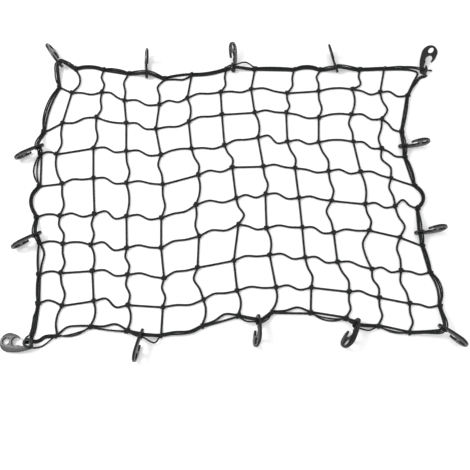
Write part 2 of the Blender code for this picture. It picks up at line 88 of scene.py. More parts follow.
COLUMNS, ROWS = 12, 9
ROW_STATIONS = (0, 2, 4, 6, 8, 10, 12)
ROW_Y = (  # how far back each cord across lies: left edge, columns 2, 4, 6, 8 and 10, right edge
    (438, 448, 405, 441, 440, 440, 449),
    (374, 359, 314, 357, 358, 370, 343),
    (208, 263, 220, 273, 280, 273, 209),
    (130, 152, 130, 166, 174, 174, 117),
    (17, 45, 30, 83, 80, 67, 19),
    (-82, -73, -90, -24, -23, -44, -58),
    (-174, -179, -189, -112, -117, -132, -182),
    (-274, -263, -282, -229, -220, -255, -268),
    (-364, -357, -376, -325, -315, -346, -370),
    (-499, -432, -458, -399, -390, -430, -470),
)
COLUMN_STATIONS = (0, 2, 4, 6, 8, 9)
COLUMN_X = (  # how far right each cord down lies: back edge, rows 2, 4, 6 and 8, front edge
    (-523, -583, -580, -563, -551, -545),
    (-490, -530, -515, -497, -491, -492),
    (-408, -424, -420, -414, -394, -398),
    (-330, -328, -318, -306, -294, -292),
    (-212, -234, -211, -204, -193, -195),
    (-125, -131, -98, -92, -76, -79),
    (-14, -26, 7, 26, 22, 25),
    (80, 78, 103, 113, 135, 121),
    (207, 178, 201, 219, 238, 234),
    (292, 283, 304, 314, 348, 335),
    (420, 385, 403, 418, 434, 427),
    (500, 486, 495, 508, 524, 513),
    (607, 537, 563, 570, 605, 615),
)
NUDGES = {  # how far right and back a knot lies from where its two cords' tables meet
    (0, 1): (-12, -3), (0, 2): (-3, -8), (1, 0): (10, 0), (1, 1): (5, -14), (1, 2): (5, -2),
    (1, 3): (-9, -8), (1, 4): (0, -4), (1, 5): (-7, 2), (1, 6): (-8, 0), (1, 7): (-10, 9),
    (1, 8): (-7, -5), (1, 9): (-2, -5), (1, 10): (-6, -2), (1, 11): (-10, -2), (2, 5): (0, 3),
    (2, 9): (-2, -19), (2, 11): (-5, 12), (3, 1): (-14, -15), (3, 2): (-3, -2), (3, 4): (9, -3),
    (3, 5): (-5, 3), (3, 6): (-6, -5), (3, 7): (-2, 17), (3, 8): (-7, 0), (3, 9): (-15, -6),
    (3, 10): (-5, 0), (3, 11): (-16, 0), (3, 12): (-5, 2), (4, 1): (1, -8), (4, 3): (0, -8),
    (4, 4): (5, -7), (4, 9): (0, -7), (5, 0): (-8, -5), (5, 1): (-8, -8), (5, 2): (9, -4),
    (5, 5): (-9, 12), (5, 7): (0, 8), (6, 7): (-3, -16), (6, 8): (-2, -5), (6, 9): (-3, -18),
    (7, 1): (-4, -3), (7, 4): (6, -4), (7, 5): (-11, 5), (7, 6): (-13, -1), (7, 7): (-7, 7),
    (7, 8): (-7, 0), (7, 9): (-14, 2), (7, 10): (-9, -2), (7, 11): (-14, 1), (8, 1): (6, -13),
    (8, 11): (-3, -6),
}
BENDS = {  # offset to the left of travel, a third and two thirds of the way to the next knot
    "-": (0, 0), "n": (7, 7), "N": (12, 9), "u": (-6, -6), ")": (8, 8), "}": (18, 20),
    "(": (-8, -8), "{": (-22, -16), "h": (9, 2), "H": (24, 6), "g": (-1, -8), "G": (-3, -13),
    "s": (7, -7), "S": (12, -11), "z": (-6, 4), "w": (-5, 6), "W": (-10, 9), "d": (2, 10),
    "D": (5, 19), "a": (-10, -1), "A": (-17, -5), "b": (-2, -10), "o": (-5, -11), "p": (-13, -2),
    "O": (-9, -14),
}
FREE = "opO"   # bends inwards that the border cords don't follow
ACROSS = (  # one letter a mesh, left to right, for the cords at rows 1 to 8
    "-ghsshgh-nGs", "-zusgh-hgnsg", "n-ssnghSsnsg", "-hsh-s-hgsh-",
    "nsSsgsssh-sH", "nnShhsghsh--", "n-shh-hsshsg", "N-S-ghhs-h-g",
)
DOWN = (  # one letter a mesh, back to front, for the cords at columns 1 to 11
    "}-d(dwdd(", "wdd--w)-)", "a--d)-ww)", "A--ad--w-", "-)-d)g-A)", "d--d-D--)",
    "--)-d-)-)", "dd-d---d-", "ad-ddA-dd", "D)a-)d{wd", "-DbWaDaad",
)
EDGE_BENDS = {  # one letter a stretch of the net's edge, clockwise
    "back": "n--ou--nn--", "right": "---}(-)-", "front": "---pnphnpO-", "left": "-o)}-))-",
}
EDGE_BOWS = {  # steps that the outer border cord bows out by, in the same order
    "back": "02010611000", "right": "10200130", "front": "33501016140", "left": "11007032",
}

# ---- the hooks ----

Circle = namedtuple("Circle", "along across radius")
HOOK_THICK = 7.0
HEAD = Circle(13.2, 21.0, 13.2)
SLIT = Circle(13.4, 21.5, 3.1)    # round its blind end
MOUTH = Circle(52.1, 30.1, 12.6)
END = Circle(72.5, 27.5, 27.5)
EYE = Circle(82.5, 30.3, 10.0)
GRIP = (22.5, 21.5)   # the point of the slit that a hook is placed by
Hook = namedtuple("Hook", "x y heading roll pitch holds")
HOOKS = {  # place of the grip, directions in degrees, and the edge stretch that the slit holds
    "hook_back_1": Hook(-270, 427, 92, 102, 11, ("back", 2)),
    "hook_back_2": Hook(10, 451, 88, 67, 16, ("back", 5)),
    "hook_back_3": Hook(341, 446, 104, 78, 5, ("back", 8)),
    "hook_right_1": Hook(545, 153, 6, 97, 9, ("right", 1)),
    "hook_right_2": Hook(571, -143, 8, 94, 6, ("right", 4)),
    "hook_front_3": Hook(359, -435, 247, -127, 8, ("front", 1)),
    "hook_front_2": Hook(81, -425, 270, -111, 13, ("front", 4)),
    "hook_front_1": Hook(-250, -470, 256, -87, 8, ("front", 7)),
    "hook_left_2": Hook(-578, -157, 214, -102, 10, ("left", 2)),
    "hook_left_1": Hook(-596, 141, 212, -105, 8, ("left", 5)),
    "hook_corner_back_left": Hook(-555, 461, 124, -116, 9, ("left", 7)),
    "hook_corner_front_right": Hook(610, -450, 320, -86, 8, ("right", 7)),
    "hook_corner_back_right": Hook(629, 444, 75, 149, 17, ("back", 10)),
    "hook_corner_front_left": Hook(-576, -494, 175, 175, -10, ("front", 10)),
}
INNER_CORNERS = {  # the edge's way at two hooks, in millimetres right of the grip and back of it
    "hook_corner_back_right": ((-41, -3), (-22, -13), (-37, -47)),
    "hook_corner_front_left": ((50, 31), (30, 18), (14, 20), (20, 46)),
}
# The border cords' ways there, along, across and through the hook. Without a through, the cord
# lies on the surface.
BACK_RIGHT_IN = (
    (0, -34, None), (0, -19, -6.9), (0, -6, -6.7), (0, -1.3, -5.8), (0, 0, -2.5), (0, 0, 2.5),
    (0, 1.3, 5.8),
)
BACK_RIGHT_OUT = ((3, 10, None), (-13, 8, None), (-21, -4, None), (-34, -14, None))
BACK_RIGHT_START = ((-14, 17, None), (-25, 9, None), (-37, -6, None))
BACK_RIGHT_STUB = ((5, 10, None), (11, 31, None))
FRONT_LEFT_UNDER = ((-35, 4, None), (-13, -2, None), (2, 0, None), (9, 0, 3.5), (9, 0, -2.5))
FRONT_LEFT_OVER = ((9, 1.3, -5.8), (9, 6, -6.7), (8, 18, -6.5), (1, 42, None))

# ---- sizes of the finish, in millimetres ----

MESH_CORD = 6.6       # across a cord of the netting, with its fuzz
MESH_FLOOR = MESH_CORD / 2 + 0.1    # height of its middle where it lies on the surface
MESH_OVER = 1.6       # how far it rises into a knot inside the net
MESH_STEP = 4.2       # between the rings of its skin
BORDER_STEP = 2.4     # between those of a border cord
COIL_STEP = 1.8       # and of the coiled cord
LAST_SHARE = 0.3      # share of a step from which the last ring stands by itself
KNOT_STRAND = 2.8     # radius of the cord in a knot
KNOT_MIDDLE = 6.7     # height of a knot's middle
KNOT_POINTS = 39      # points on a knot's path
KNOT_TILT = 0.1       # most that a knot leans, in radians
KNOT_LEAST = (0.92, 0.92, 0.94)   # least and most scale of a knot
KNOT_MOST = (1.10, 1.10, 1.04)
WRAP_STRAND = 2.0     # radius of the cord in a wrap round the border
WRAP_SIDES = 8        # sides of its skin
WRAP_POINTS = 20      # points to a turn
WRAP_PITCH = 2 * WRAP_STRAND + 0.1    # from turn to turn
WRAP_MIDDLE = LANE / 2 + 0.2          # from the net's edge out to the middle of a turn
WRAP_FLOOR = WRAP_STRAND + 0.3        # least height of the cord's middle
WRAP_SLANT = 0.6      # step by which the slants of the wraps differ
WRAP_SQUEEZE = 0.4    # how far a wrap presses into the cords that it holds
WRAP_NARROW = 0.25    # share that a turn is narrower by, high on the net's side
WRAP_SQUARE = (0.6, 0.8)      # powers that square off a turn, level and upright
EYE_POINTS = 48       # points round a hook's eye
EDGE_STEPS = 3        # steps of a hook's rounded edge
SHARP = math.radians(35)      # edges that turn more than this stay sharp
WELD = 1e-6           # points this near each other are joined, in metres
COIL_CENTRE = (13.0, 26.0)    # middle of the coil on the front left hook, along and across it
COIL = (  # its way by turn in degrees, radius and height over the hook's face
    (85, 11.6, 2.8), (140, 11.8, 2.8), (200, 11.8, 2.8), (250, 11.8, 3.0), (290, 11.9, 4.6),
    (325, 12.0, 7.2), (365, 12.1, 8.3), (410, 12.0, 8.2), (460, 11.8, 7.8), (520, 11.6, 7.6),
    (580, 11.4, 7.6), (630, 11.2, 7.8), (680, 10.4, 8.8), (730, 9.0, 10.0), (790, 8.2, 10.2),
    (850, 8.0, 9.4), (890, 7.2, 7.6),
)

# ---- smooth ways ----


def up(height):
    return Vector((0, 0, height))


def left_of(direction):
    return Vector((-direction.y, direction.x, 0)).normalized()


def level_between(start, end):
    return Vector((end.x - start.x, end.y - start.y, 0)).normalized()


def eased(start, end, leave, arrive, width, t):
    """The value at t, from 0 to 1, on a smooth curve with these slopes at its ends."""
    value = start * (1 + 2 * t) * (1 - t) ** 2 + end * t * t * (3 - 2 * t)
    return value + width * (leave * t * (1 - t) ** 2 - arrive * t * t * (1 - t))


def table_value(stations, values, at):
    """Reads one row of a table, on a smooth curve through its stations."""
    here = max(i for i in range(len(stations) - 1) if stations[i] <= at)
    slopes = []
    for i in (here, here + 1):
        low, high = max(i - 1, 0), min(i + 1, len(stations) - 1)
        slopes.append((values[high] - values[low]) / (stations[high] - stations[low]))
    width = stations[here + 1] - stations[here]
    t = (at - stations[here]) / width
    return eased(values[here], values[here + 1], *slopes, width, t)


def smooth_point(points, at):
    """The point at `at` on the smooth curve that passes through points[i] at i."""
    i = min(int(at), len(points) - 2)
    p = [points[max(i - 1, 0)], points[i], points[i + 1], points[min(i + 2, len(points) - 1)]]
    if i == 0:
        p[0] = 2 * p[1] - p[2]
    if i + 2 >= len(points):
        p[3] = 2 * p[2] - p[1]
    gap = [math.sqrt((b - a).length) for a, b in zip(p, p[1:])]
    first = (p[1] - p[0]) / gap[0] - (p[2] - p[0]) / (gap[0] + gap[1]) + (p[2] - p[1]) / gap[1]
    last = (p[2] - p[1]) / gap[1] - (p[3] - p[1]) / (gap[1] + gap[2]) + (p[3] - p[2]) / gap[2]
    return eased(p[1], p[2], first, last, gap[1], at - i)


def fine_way(points, closed):
    """A smooth way through the points, with a point for about every fine step."""
    span = len(points) - (0 if closed else 1)
    if closed:
        points = points[-1:] + points + points[:2]
    first = 1 if closed else 0
    fine = []
    for i in range(first, first + span):
        count = max(2, round((points[i + 1] - points[i]).length / FINE_STEP))
        fine += [smooth_point(points, i + j / count) for j in range(count)]
    return fine + ([fine[0].copy()] if closed else [points[-1].copy()])


def fine_straight(points):
    """Points for about every millimetre of the straight lines between these."""
    fine = []
    for start, end in zip(points, points[1:]):
        count = max(1, round((end - start).length))
        fine += [start.lerp(end, j / count) for j in range(count)]
    return fine


def kept_clear(points, others, distance):
    """Moves the points of a way off a neighbour's way, and up to lie on the surface."""
    wall = numpy.array(fine_straight(others))
    moved = numpy.array(points)
    for _ in range(CLEAR_ROUNDS):
        pushed = numpy.zeros(len(moved))
        for i, point in enumerate(moved):
            away = point - wall
            gaps = numpy.sqrt((away ** 2).sum(axis=1))
            near = int(gaps.argmin())
            if gaps[near] < distance:
                moved[i] = wall[near] + away[near] * (distance / gaps[near])
                pushed[i] = 1
        close = numpy.convolve(pushed, numpy.ones(CLEAR_SPAN), "same")[1:-1, None] > 0
        even = (moved[:-2] + 2 * moved[1:-1] + moved[2:]) / 4
        moved[1:-1] = numpy.where(close, even, moved[1:-1])
        moved[:, 2] = numpy.maximum(moved[:, 2], FLOOR)
    return [Vector(point) for point in moved]


def arc(ring, start, end, count):
    """Points on a hook's circle, by degrees from its length towards its open side."""
    turns = [math.radians(start + (end - start) * i / (count - 1)) for i in range(count)]
    along, across, radius = ring
    return [(along + radius * math.cos(a), across + radius * math.sin(a)) for a in turns]


def hook_outline():
    """The outline of a hook, with its head at 0 along and its spine at 0 across."""
    curl = [(31.8, 25.4), (31.2, 27.4), (27.3, 30.6), (20.8, 33.4)]
    spine = [(15.0, 7.8), (26.4, 4.4), (43.6, 0.8), (58.0, 0.0)]
    point = [(52.6, 50.2), (46.2, 46.2), (41.2, 41.4)]
    throat = [(37.0, 18.4), (33.0, SLIT.across - SLIT.radius)]
    outer = curl + arc(HEAD, 95, 230, 7) + spine + arc(END, -95, 112, 11) + point
    return outer + arc(MOUTH, 128, -128, 9) + throat + arc(SLIT, 270, 90, 5)


def rounded_outline():
    """The same outline as a smooth closed way."""
    corners = [Vector((along, across, 0)) for along, across in hook_outline()]
    return [(point.x, point.y) for point in fine_way(corners, True)[:-1]]


def hook_frame(name):
    """Stands a hook on the surface with its grip at its place, in millimetres."""
    hook = HOOKS[name]
    heading, roll, pitch = (math.radians(a) for a in (hook.heading, hook.roll, hook.pitch))
    level = Vector((math.cos(heading), math.sin(heading), 0))
    side = left_of(level)
    along = level * math.cos(pitch) + up(math.sin(pitch))
    across = side * math.cos(roll) + along.cross(side) * math.sin(roll)
    turn = Matrix((along, across, along.cross(across))).transposed()
    grip = turn @ Vector((*GRIP, 0))
    faces = (-HOOK_THICK / 2, HOOK_THICK / 2)
    lowest = min((turn @ Vector((s, t, n))).z for s, t in hook_outline() for n in faces)
    place = Vector((hook.x - grip.x, hook.y - grip.y, -lowest))
    return Matrix.Translation(place) @ turn.to_4x4()


def in_slit(name, lane, steps):
    """Points near the place of a lane in a hook's slit, from steps along, across and through."""
    hook = hook_frame(name)
    points = []
    for along, across, through in steps:
        from_head = SLIT.along + SLIT_FIRST + lane * SLIT_LANE + along
        point = hook @ Vector((from_head, SLIT.across + across, through or 0))
        if through is None:
            point.z = FLOOR
        points.append(point)
    return points


def slit_pass(name, lane, travel):
    """The points where a cord runs straight through a hook's slit, in the way of travel."""
    reach = (-PASS_FAR, -PASS_NEAR, PASS_NEAR, PASS_FAR)
    points = in_slit(name, lane, [(0, 0, through) for through in reach])
    return points if (points[-1] - points[0]).dot(travel) > 0 else points[::-1]


# ---- the ways of the netting and of its border ----

Stretch = namedtuple("Stretch", "start end points hook bow letter")


def knot_place(knot):
    """The middle of a knot, at the surface."""
    row, column = knot
    x = table_value(COLUMN_STATIONS, COLUMN_X[column], row)
    y = table_value(ROW_STATIONS, ROW_Y[row], column)
    right, back = NUDGES.get(knot, (0, 0))
    return Vector((x + right, y + back, 0))


def bend_points(start, end, letter):
    """The two points between a pair of knots that give a cord its bend."""
    early, late = BENDS[letter]
    side = left_of(end - start)
    lift = up(LIFT * (abs(early) + abs(late)) / 2)
    first = start.lerp(end, 1 / 3) + side * early + lift
    return [first, start.lerp(end, 2 / 3) + side * late + lift]


def stretch_way(stretch):
    """The underside of a stretch of cord: its knots, where it leaves them and its own points."""
    start, end = knot_place(stretch.start), knot_place(stretch.end)
    leave = start + level_between(start, stretch.points[0]) * KNOT_REACH
    arrive = end + level_between(end, stretch.points[-1]) * KNOT_REACH
    return [start, leave] + stretch.points + [arrive, end]


def edge_knots():
    """Rows and columns of the knots on the net's edge, side by side and clockwise."""
    return {
        "back": [(0, column) for column in range(1, COLUMNS)],
        "right": [(row, COLUMNS) for row in range(1, ROWS)],
        "front": [(ROWS, column) for column in range(COLUMNS - 1, 0, -1)],
        "left": [(row, 0) for row in range(ROWS - 1, 0, -1)],
    }


def edge_stretches():
    """Each stretch of the net's edge from knot to knot, clockwise from the first back knot."""
    holders = {hook.holds: name for name, hook in HOOKS.items()}
    sides = edge_knots()
    names = list(sides)
    stretches = []
    for number, side in enumerate(names):
        knots = sides[side] + sides[names[(number + 1) % 4]][:1]
        for i, (start, end) in enumerate(zip(knots, knots[1:])):
            a, b = knot_place(start), knot_place(end)
            hook = holders.get((side, i))
            letter = EDGE_BENDS[side][i]
            if hook in INNER_CORNERS:
                grip = HOOKS[hook]
                points = [Vector((grip.x + x, grip.y + y, 0)) for x, y in INNER_CORNERS[hook]]
            elif hook:
                points = [point - up(FOOT) for point in slit_pass(hook, 0, b - a)]
            else:
                points = bend_points(a, b, letter)
            bow = int(EDGE_BOWS[side][i])
            stretches.append(Stretch(start, end, points, hook, bow, letter))
    return stretches


def inner_stretches():
    """Every stretch of cord inside the net, from knot to knot."""
    pairs = []
    for row, letters in enumerate(ACROSS, start=1):
        for column, letter in enumerate(letters):
            pairs.append(((row, column), (row, column + 1), letter))
    for column, letters in enumerate(DOWN, start=1):
        for row, letter in enumerate(letters):
            pairs.append(((row, column), (row + 1, column), letter))
    return [
        Stretch(a, b, bend_points(knot_place(a), knot_place(b), letter), None, 0, letter)
        for a, b, letter in pairs
    ]


def outwards(places, i):
    """The way out of the net at one of its edge's knots."""
    before, here, after = places[i - 1], places[i], places[(i + 1) % len(places)]
    return (left_of(here - before) + left_of(after - here)).normalized()


def border_lane(stretches, lane):
    """The way of a border cord round the net, from the knot after the back right corner."""
    middle = up(FLOOR + STACK * (lane - 1))
    places = [knot_place(stretch.start) for stretch in stretches]
    first = next(i for i, stretch in enumerate(stretches) if stretch.start == (1, COLUMNS))
    route = []
    for step in range(len(stretches)):
        i = (first + step) % len(stretches)
        here, after = places[i], places[(i + 1) % len(places)]
        route.append(here + outwards(places, i) * LANE + middle)
        stretch = stretches[i]
        hook = stretch.hook
        if hook == "hook_corner_back_right":
            route += in_slit(hook, lane - 1, BACK_RIGHT_IN)
        elif hook == "hook_corner_front_left" and lane == 2:
            route += in_slit(hook, 0, FRONT_LEFT_UNDER + FRONT_LEFT_OVER)
        elif hook and hook not in INNER_CORNERS:
            route += held_by_hook(stretch, lane, here + middle, after + middle)
        else:
            route += beside(stretch, lane, here, after)
    return route


def held_by_hook(stretch, lane, here, after):
    """A border cord's points through a hook, with a bow on its longer sides."""
    held = slit_pass(stretch.hook, lane, after - here)
    sides = []
    for knot, end in ((here, held[0]), (held[-1], after)):
        bulge = stretch.bow * BOW_UNIT if lane == 2 and (end - knot).length > LONG_SIDE else 0
        middle = knot.lerp(end, 0.5) + left_of(end - knot) * (LANE + bulge)
        middle.z = here.z + SIDE_RISE * (held[0].z - here.z)
        sides.append([middle] if bulge else [])
    return sides[0] + held + sides[1]


def beside(stretch, lane, here, after):
    """A border cord's points along a stretch of the net's edge, bowed out in the middle."""
    if stretch.letter in FREE:
        stretch = stretch._replace(points=bend_points(here, after, "-"))
    way = stretch_way(stretch)
    steps = 2 * len(way) - 4 if stretch.hook else 4
    bow = stretch.bow * BOW_UNIT
    near = 0.01
    route = []
    for j in range(steps + 1):
        at = 1 + (len(way) - 3) * j / steps
        direction = smooth_point(way, at + near) - smooth_point(way, at - near)
        inner = bow * INNER_SHARE * math.sin(math.pi * j / steps)
        outer = bow * math.sin(math.pi * j / steps)
        bulge = inner if lane == 1 else outer
        rise = math.sqrt(max(STACK ** 2 - (outer - inner) ** 2, 0)) if lane == 2 else 0
        height = up(FLOOR + rise + LIFT * inner)
        route.append(smooth_point(way, at) + left_of(direction) * (LANE + bulge) + height)
    return route


def border_ways():
    """The ways of the inner border cord, which is closed, and of the outer one, which ends."""
    stretches = edge_stretches()
    corner = "hook_corner_back_right"
    parts = 4
    edge = []
    for stretch in stretches:
        way = stretch_way(stretch)
        steps = parts * (len(way) - 3)
        edge += [smooth_point(way, 1 + j / parts) + up(FOOT) for j in range(steps + 1)]
    edge.append(edge[0])
    inner = border_lane(stretches, 1) + in_slit(corner, 0, BACK_RIGHT_OUT)
    inner = kept_clear(fine_way(inner, True), edge, NET_CLEAR)
    start = in_slit(corner, 1, BACK_RIGHT_START)
    outer = start + border_lane(stretches, 2) + in_slit(corner, 1, BACK_RIGHT_STUB)
    outer = kept_clear(fine_way(outer, False), edge, NET_CLEAR)
    return inner, kept_clear(outer, inner, BORDER_CLEAR)


# ---- node trees ----


def worked(operation, swapped=False):
    """An operator of Value, which adds a Math node."""

    def work(self, *others):
        return self.math(operation, *((*others, self) if swapped else (self, *others)))

    return work


class Value:
    """An output in a node tree. Arithmetic on it adds Math nodes."""

    def __init__(self, graph, node, output=0):
        self.graph, self.node = graph, node
        self.socket = node.outputs[output]

    def __getitem__(self, output):
        return Value(self.graph, self.node, output)

    def math(self, operation, *values):
        return self.graph.node("ShaderNodeMath", {"operation": operation}, dict(enumerate(values)))

    __add__ = __radd__ = worked("ADD")
    __sub__ = worked("SUBTRACT")
    __rsub__ = worked("SUBTRACT", swapped=True)
    __mul__ = __rmul__ = worked("MULTIPLY")
    __truediv__ = worked("DIVIDE")
    __rtruediv__ = worked("DIVIDE", swapped=True)
    __abs__ = worked("ABSOLUTE")
    sin = worked("SINE")
    cos = worked("COSINE")


class Graph:
    """A node tree, to which nodes are added by one method."""

    def __init__(self, tree):
        self.tree = tree

    def node(self, kind, settings=None, values=None):
        """Adds a node, sets its settings and then the values or links of its sockets."""
        node = self.tree.nodes.new(kind)
        for name, setting in (settings or {}).items():
            if name == "captures":
                for item, form in setting.items():
                    node.capture_items.new(form, item)
            elif name == "stops":
                self.set_stops(node.color_ramp, setting)
            else:
                setattr(node, name, setting)
        self.fill(node, values or {})
        return Value(self, node) if node.outputs else None

    def fill(self, node, values):
        """Sets the values or links of a node's sockets."""
        for name, value in values.items():
            if isinstance(value, Value):
                self.tree.links.new(value.socket, node.inputs[name])
            else:
                node.inputs[name].default_value = value

    @staticmethod
    def set_stops(ramp, stops):
        while len(ramp.elements) < len(stops):
            ramp.elements.new(0.5)
        for element, (place, colour) in zip(ramp.elements, stops):
            element.position = place
            element.color = (*colour, 1)


def new_shape_tree(name, sockets):
    """A Geometry Nodes tree that takes and gives a shape, with the named inputs."""
    tree = bpy.data.node_groups.new(name, "GeometryNodeTree")
    tree.interface.new_socket("Geometry", in_out="INPUT", socket_type="NodeSocketGeometry")
    for label, (kind, default) in sockets.items():
        kind = "NodeSocket" + kind
        socket = tree.interface.new_socket(label, in_out="INPUT", socket_type=kind)
        if default is not None:
            socket.default_value = default
    tree.interface.new_socket("Geometry", in_out="OUTPUT", socket_type="NodeSocketGeometry")
    graph = Graph(tree)
    return graph, graph.node("NodeGroupInput")


def circle(graph, points, radius):
    values = {"Resolution": points, "Radius": radius}
    return graph.node("GeometryNodeCurvePrimitiveCircle", {"mode": "RADIUS"}, values)


def marked(graph, path, name, value):
    """A path whose points carry a named value."""
    values = {"Geometry": path, name: value}
    return graph.node("GeometryNodeCaptureAttribute", {"captures": {name: "FLOAT"}}, values)


def along_spline(graph, measure):
    return graph.node("GeometryNodeSplineParameter")[measure]


def point_at(graph, x, y, z):
    return graph.node("ShaderNodeCombineXYZ", {}, {"X": x, "Y": y, "Z": z})


def skinned(graph, path, radius, sides, closed):
    """A round skin on a path, which carries where each point lies round and along the cord."""
    cord = marked(graph, path, "along", along_spline(graph, "Length"))
    full_turn = along_spline(graph, "Factor") * (2 * math.pi)
    ring = marked(graph, circle(graph, sides, radius), "turn", full_turn)
    values = {"Curve": cord, "Profile Curve": ring, "Fill Caps": not closed}
    skin = graph.node("GeometryNodeCurveToMesh", {}, values)
    turn = ring["turn"]
    lay = point_at(graph, turn.cos(), turn.sin(), cord["along"])
    return graph.node(
        "GeometryNodeStoreNamedAttribute",
        {"data_type": "FLOAT_VECTOR", "domain": "POINT"},
        {"Geometry": skin, "Name": "lay", "Value": lay},
    )


def finish_shape(graph, shape, material):
    """Ends a tree with plain, smooth and painted geometry."""
    smooth = graph.node("GeometryNodeSetShadeSmooth", {}, {"Geometry": shape})
    real = graph.node("GeometryNodeRealizeInstances", {}, {"Geometry": smooth})
    painted = graph.node("GeometryNodeSetMaterial", {}, {"Geometry": real, "Material": material})
    graph.node("NodeGroupOutput", {}, {"Geometry": painted})
    return graph.tree


def cord_tree():
    """Skins every path of a curve as a round cord."""
    sockets = {"Radius": ("Float", 0.0024), "Sides": ("Int", 10), "Finish": ("Material", None)}
    graph, inputs = new_shape_tree("cord_on_paths", sockets)
    skin = skinned(graph, inputs["Geometry"], inputs["Radius"], inputs["Sides"], False)
    return finish_shape(graph, skin, inputs["Finish"])


def at_random(graph, least, most, seed):
    values = {0: least, 1: most, "Seed": seed}
    return graph.node("FunctionNodeRandomValue", {"data_type": "FLOAT_VECTOR"}, values)


def knot_tree():
    """Ties an overhand knot of one closed path at each point, turned and sized at random."""
    graph, inputs = new_shape_tree(
        "knots_on_crossings",
        {
            "Ring": ("Float", 0.0040),
            "Wander": ("Float", 0.0021),
            "Rise": ("Float", 0.0024),
            "Radius": ("Float", 0.0020),
            "Sides": ("Int", 8),
            "Seed": ("Int", 7),
            "Finish": ("Material", None),
        },
    )
    loop = circle(graph, KNOT_POINTS, 1.0)
    turn = along_spline(graph, "Factor") * (2 * math.pi)
    reach = inputs["Ring"] + inputs["Wander"] * (turn * 3).cos()
    rise = inputs["Rise"] * (turn * 3).sin()
    place = point_at(graph, reach * (turn * 2).cos(), reach * (turn * 2).sin(), rise)
    path = graph.node("GeometryNodeSetPosition", {}, {"Geometry": loop, "Position": place})
    knot = skinned(graph, path, inputs["Radius"], inputs["Sides"], True)
    lean = (KNOT_TILT, KNOT_TILT, 2 * math.pi)
    turned = at_random(graph, (-KNOT_TILT, -KNOT_TILT, 0.0), lean, inputs["Seed"])
    sized = at_random(graph, KNOT_LEAST, KNOT_MOST, inputs["Seed"] + 1)
    values = {"Points": inputs["Geometry"], "Instance": knot, "Rotation": turned, "Scale": sized}
    tied = graph.node("GeometryNodeInstanceOnPoints", {}, values)
    return finish_shape(graph, tied, inputs["Finish"])


def linked(name, data):
    """A new object of the scene."""
    made = bpy.data.objects.new(name, data)
    bpy.context.scene.collection.objects.link(made)
    return made


def plain_mesh(source, name):
    """The mesh that an object and its modifiers make. The object is removed."""
    shaped = source.evaluated_get(bpy.context.evaluated_depsgraph_get())
    mesh = bpy.data.meshes.new_from_object(shaped)
    mesh.name = name
    bpy.data.objects.remove(source)
    return mesh


def grown(source, tree, values, name):
    """The piece that a tree makes of an object, as a plain mesh."""
    modifier = source.modifiers.new("grow", "NODES")
    modifier.node_group = tree
    for item in tree.interface.items_tree:
        if item.item_type == "SOCKET" and item.in_out == "INPUT" and item.name in values:
            modifier[item.identifier] = values[item.name]
    return linked(name, plain_mesh(source, name))


# ---- finishes ----

DUST_SCALE, FUZZ_SCALE = 9.0, 1400.0    # of the noise in the dust and fuzz on a braid
GRAIN_SCALE, SCUFF_SCALE = 900.0, 45.0    # and in the plastic's grain and scuffs
BRAID_DEPTH, GRAIN_DEPTH = 0.0004, 0.0002     # of their relief, in metres
# The first shade is painted shade between a braid's strands; the others pale the worn crowns and
# the scuffs, with what is added to them.
PAINTED_GROOVE_SHADE, WORN, SCUFFED, PALE = 0.35, 2.1, 2.4, 0.006     # shades of a colour, and what is added
DUST_TINT = (1.1, 1.2, 1.12)


def new_finish(name):
    """A material with only its shader, and the graph to build on."""
    material = bpy.data.materials.new(name)
    material.use_nodes = True
    graph = Graph(material.node_tree)
    return material, graph, material.node_tree.nodes["Principled BSDF"]


def noise(graph, coords, scale, detail, roughness, distortion=0.0):
    values = {"Vector": coords, "Scale": scale, "Detail": detail, "Roughness": roughness}
    return graph.node("ShaderNodeTexNoise", {}, {**values, "Distortion": distortion})


def mixed(graph, share, first, second):
    """One colour, with a share of another."""
    values = {0: share, 6: first, 7: second}
    return graph.node("ShaderNodeMix", {"data_type": "RGBA"}, values)[2]


def bumped(graph, height, strength, distance):
    values = {"Strength": strength, "Distance": distance, "Height": height}
    return graph.node("ShaderNodeBump", {}, values)


def braided_finish(name, colour, settings):
    """Braided elastic: strands that cross over and under, a little dusty and fuzzy, with painted
    shade between the strands.
    """
    material, graph, shader = new_finish(name)
    lay = graph.node("ShaderNodeAttribute", {"attribute_name": "lay"})["Vector"]
    parts = graph.node("ShaderNodeSeparateXYZ", {}, {0: lay})
    turn = parts.math("ARCTAN2", parts["Y"], parts["X"]) / (2 * math.pi)
    travel = parts["Z"] / settings.braid_pitch
    right = (turn * settings.braid_strands + travel) * math.pi
    left = (turn * settings.braid_strands - travel) * math.pi
    over = right.sin() * left.sin() * 0.5 + 0.5
    relief = abs(right.sin()) * over + abs(left.sin()) * (1 - over)
    coords = graph.node("ShaderNodeTexCoord")["Object"]
    dust = noise(graph, coords, DUST_SCALE, 4.0, 0.6)
    fuzz = noise(graph, coords, FUZZ_SCALE, 2.0, 0.7)
    # painted shade: the colour darkened in the grooves between the strands
    painted_groove_shade = tuple(channel * PAINTED_GROOVE_SHADE for channel in colour)
    worn = tuple(channel * WORN + PALE for channel in colour)
    dusty = (*(channel * tint for channel, tint in zip(worn, DUST_TINT)), 1)
    # the braid's colour by relief: painted shade between the strands, the cord's own colour, then
    # paler worn crowns
    strands = graph.node(
        "ShaderNodeValToRGB",
        {"stops": [(0.15, painted_groove_shade), (0.75, tuple(colour)), (1.0, worn)]},
        {0: relief * 0.85 + fuzz * 0.2},
    )
    looks = {
        "Base Color": mixed(graph, dust * 0.5, strands, dusty),
        "Roughness": 0.9 - relief * 0.18 + fuzz * 0.06,
        "Normal": bumped(graph, relief + fuzz * 0.25, 0.8, BRAID_DEPTH),
        "Sheen Weight": 0.05,
        "Sheen Roughness": 0.5,
        "Specular IOR Level": 0.25,
    }
    graph.fill(shader, looks)
    return material


